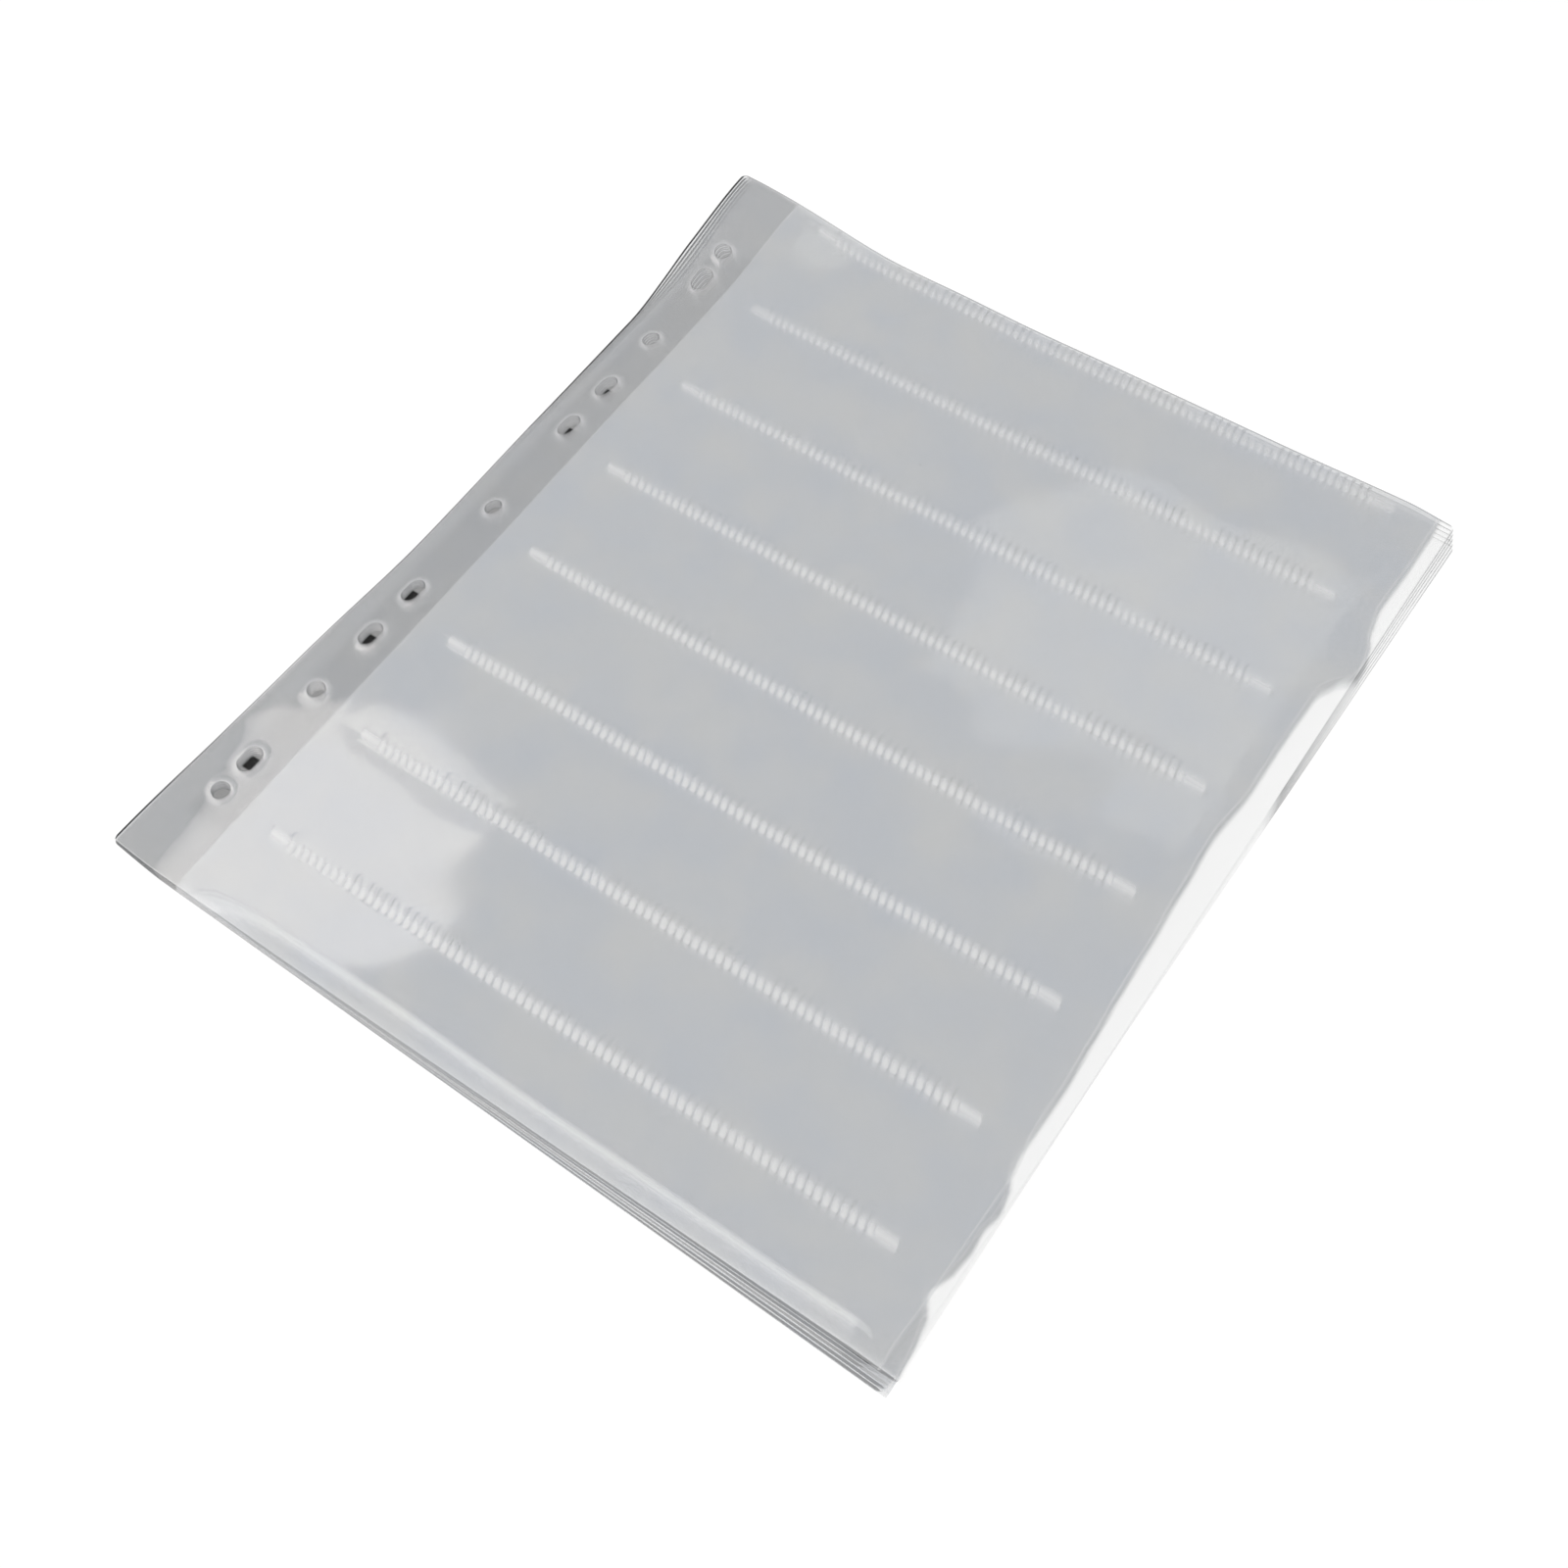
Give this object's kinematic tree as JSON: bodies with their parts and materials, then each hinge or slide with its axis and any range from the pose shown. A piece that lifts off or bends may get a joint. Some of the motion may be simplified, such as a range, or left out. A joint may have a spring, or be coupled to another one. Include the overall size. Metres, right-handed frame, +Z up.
{
  "type": "film negative sleeve stack",
  "caption": "Loose stack of clear ring-binder sleeves whose ribbed welds form long pockets for strips of film, with a punched margin down one side.",
  "frame": {"origin": "middle of the underside of the bottom sleeve", "axes": "+X from the punched edge to the pocket mouths, +Y up along the punched edge away from the index pocket, +Z up through the stack"},
  "size_m": [0.256, 0.298, 0.0069],
  "materials": {
    "back_film": "clear gloss film",
    "front_film": "clear gloss film with milky ribbed welds"
  },
  "bodies": {
    "sleeve_01": {"back_film_01": "back_film", "front_film_01": "front_film"},
    "sleeve_02": {"back_film_02": "back_film", "front_film_02": "front_film"},
    "sleeve_03": {"back_film_03": "back_film", "front_film_03": "front_film"},
    "sleeve_04": {"back_film_04": "back_film", "front_film_04": "front_film"},
    "sleeve_05": {"back_film_05": "back_film", "front_film_05": "front_film"},
    "sleeve_06": {"back_film_06": "back_film", "front_film_06": "front_film"},
    "sleeve_07": {"back_film_07": "back_film", "front_film_07": "front_film"},
    "sleeve_08": {"back_film_08": "back_film", "front_film_08": "front_film"},
    "sleeve_09": {"back_film_09": "back_film", "front_film_09": "front_film"},
    "sleeve_10": {"back_film_10": "back_film", "front_film_10": "front_film"}
  },
  "joints": [
    {"name": "sleeve_02_lift", "type": "slide", "parent": "sleeve_01", "child": "sleeve_02", "axis": [0, 0, 1], "range_m": [0, 0.05]},
    {"name": "sleeve_03_lift", "type": "slide", "parent": "sleeve_02", "child": "sleeve_03", "axis": [0, 0, 1], "range_m": [0, 0.05]},
    {"name": "sleeve_04_lift", "type": "slide", "parent": "sleeve_03", "child": "sleeve_04", "axis": [0, 0, 1], "range_m": [0, 0.05]},
    {"name": "sleeve_05_lift", "type": "slide", "parent": "sleeve_04", "child": "sleeve_05", "axis": [0, 0, 1], "range_m": [0, 0.05]},
    {"name": "sleeve_06_lift", "type": "slide", "parent": "sleeve_05", "child": "sleeve_06", "axis": [0, 0, 1], "range_m": [0, 0.05]},
    {"name": "sleeve_07_lift", "type": "slide", "parent": "sleeve_06", "child": "sleeve_07", "axis": [0, 0, 1], "range_m": [0, 0.05]},
    {"name": "sleeve_08_lift", "type": "slide", "parent": "sleeve_07", "child": "sleeve_08", "axis": [0, 0, 1], "range_m": [0, 0.05]},
    {"name": "sleeve_09_lift", "type": "slide", "parent": "sleeve_08", "child": "sleeve_09", "axis": [0, 0, 1], "range_m": [0, 0.05]},
    {"name": "sleeve_10_lift", "type": "slide", "parent": "sleeve_09", "child": "sleeve_10", "axis": [0, 0, 1], "range_m": [0, 0.05]}
  ]
}
